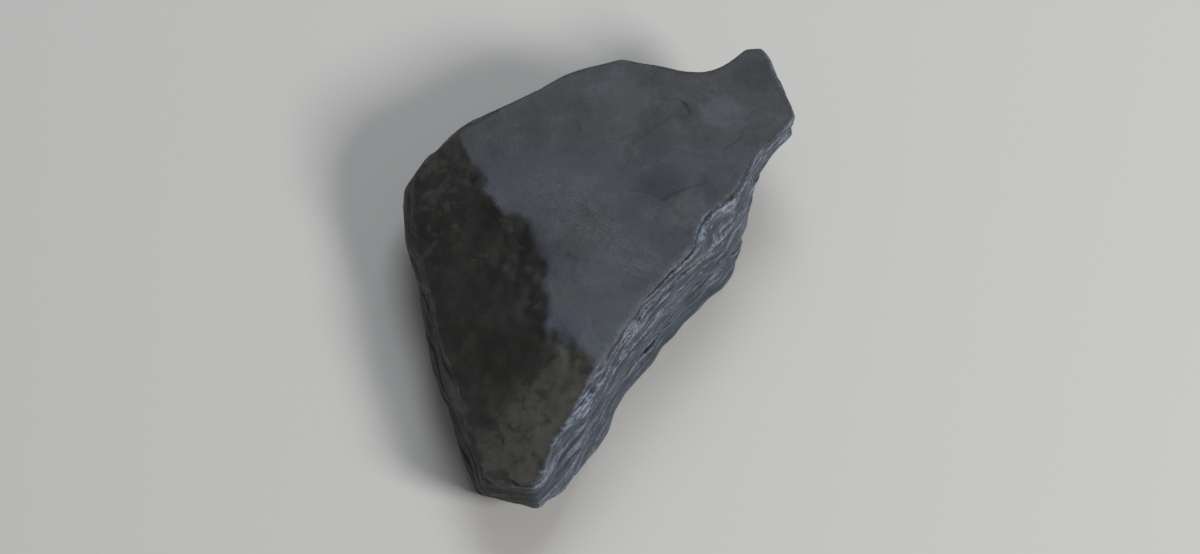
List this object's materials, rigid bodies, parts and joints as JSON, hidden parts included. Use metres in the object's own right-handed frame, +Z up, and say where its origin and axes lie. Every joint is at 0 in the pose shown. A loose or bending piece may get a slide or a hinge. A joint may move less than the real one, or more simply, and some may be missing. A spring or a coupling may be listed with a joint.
{
  "type": "coal lump",
  "caption": "Single black lump of bedded coal: broad flat cleavage face, tall broken wall showing the bed edges, one narrow tip and one horn, resting on its flat underside.",
  "frame": {"origin": "centre of the lump's box, on the surface it rests on", "axes": "+Z up, out of the broad cleavage face; +Y along the lump's length, from the narrow tip to the broad end; the tall broken wall faces +X and -Y"},
  "size_m": [0.0506, 0.0618, 0.017],
  "materials": {
    "coal": "satin"
  },
  "bodies": {
    "root": {"coal_lump": "coal"}
  },
  "joints": []
}
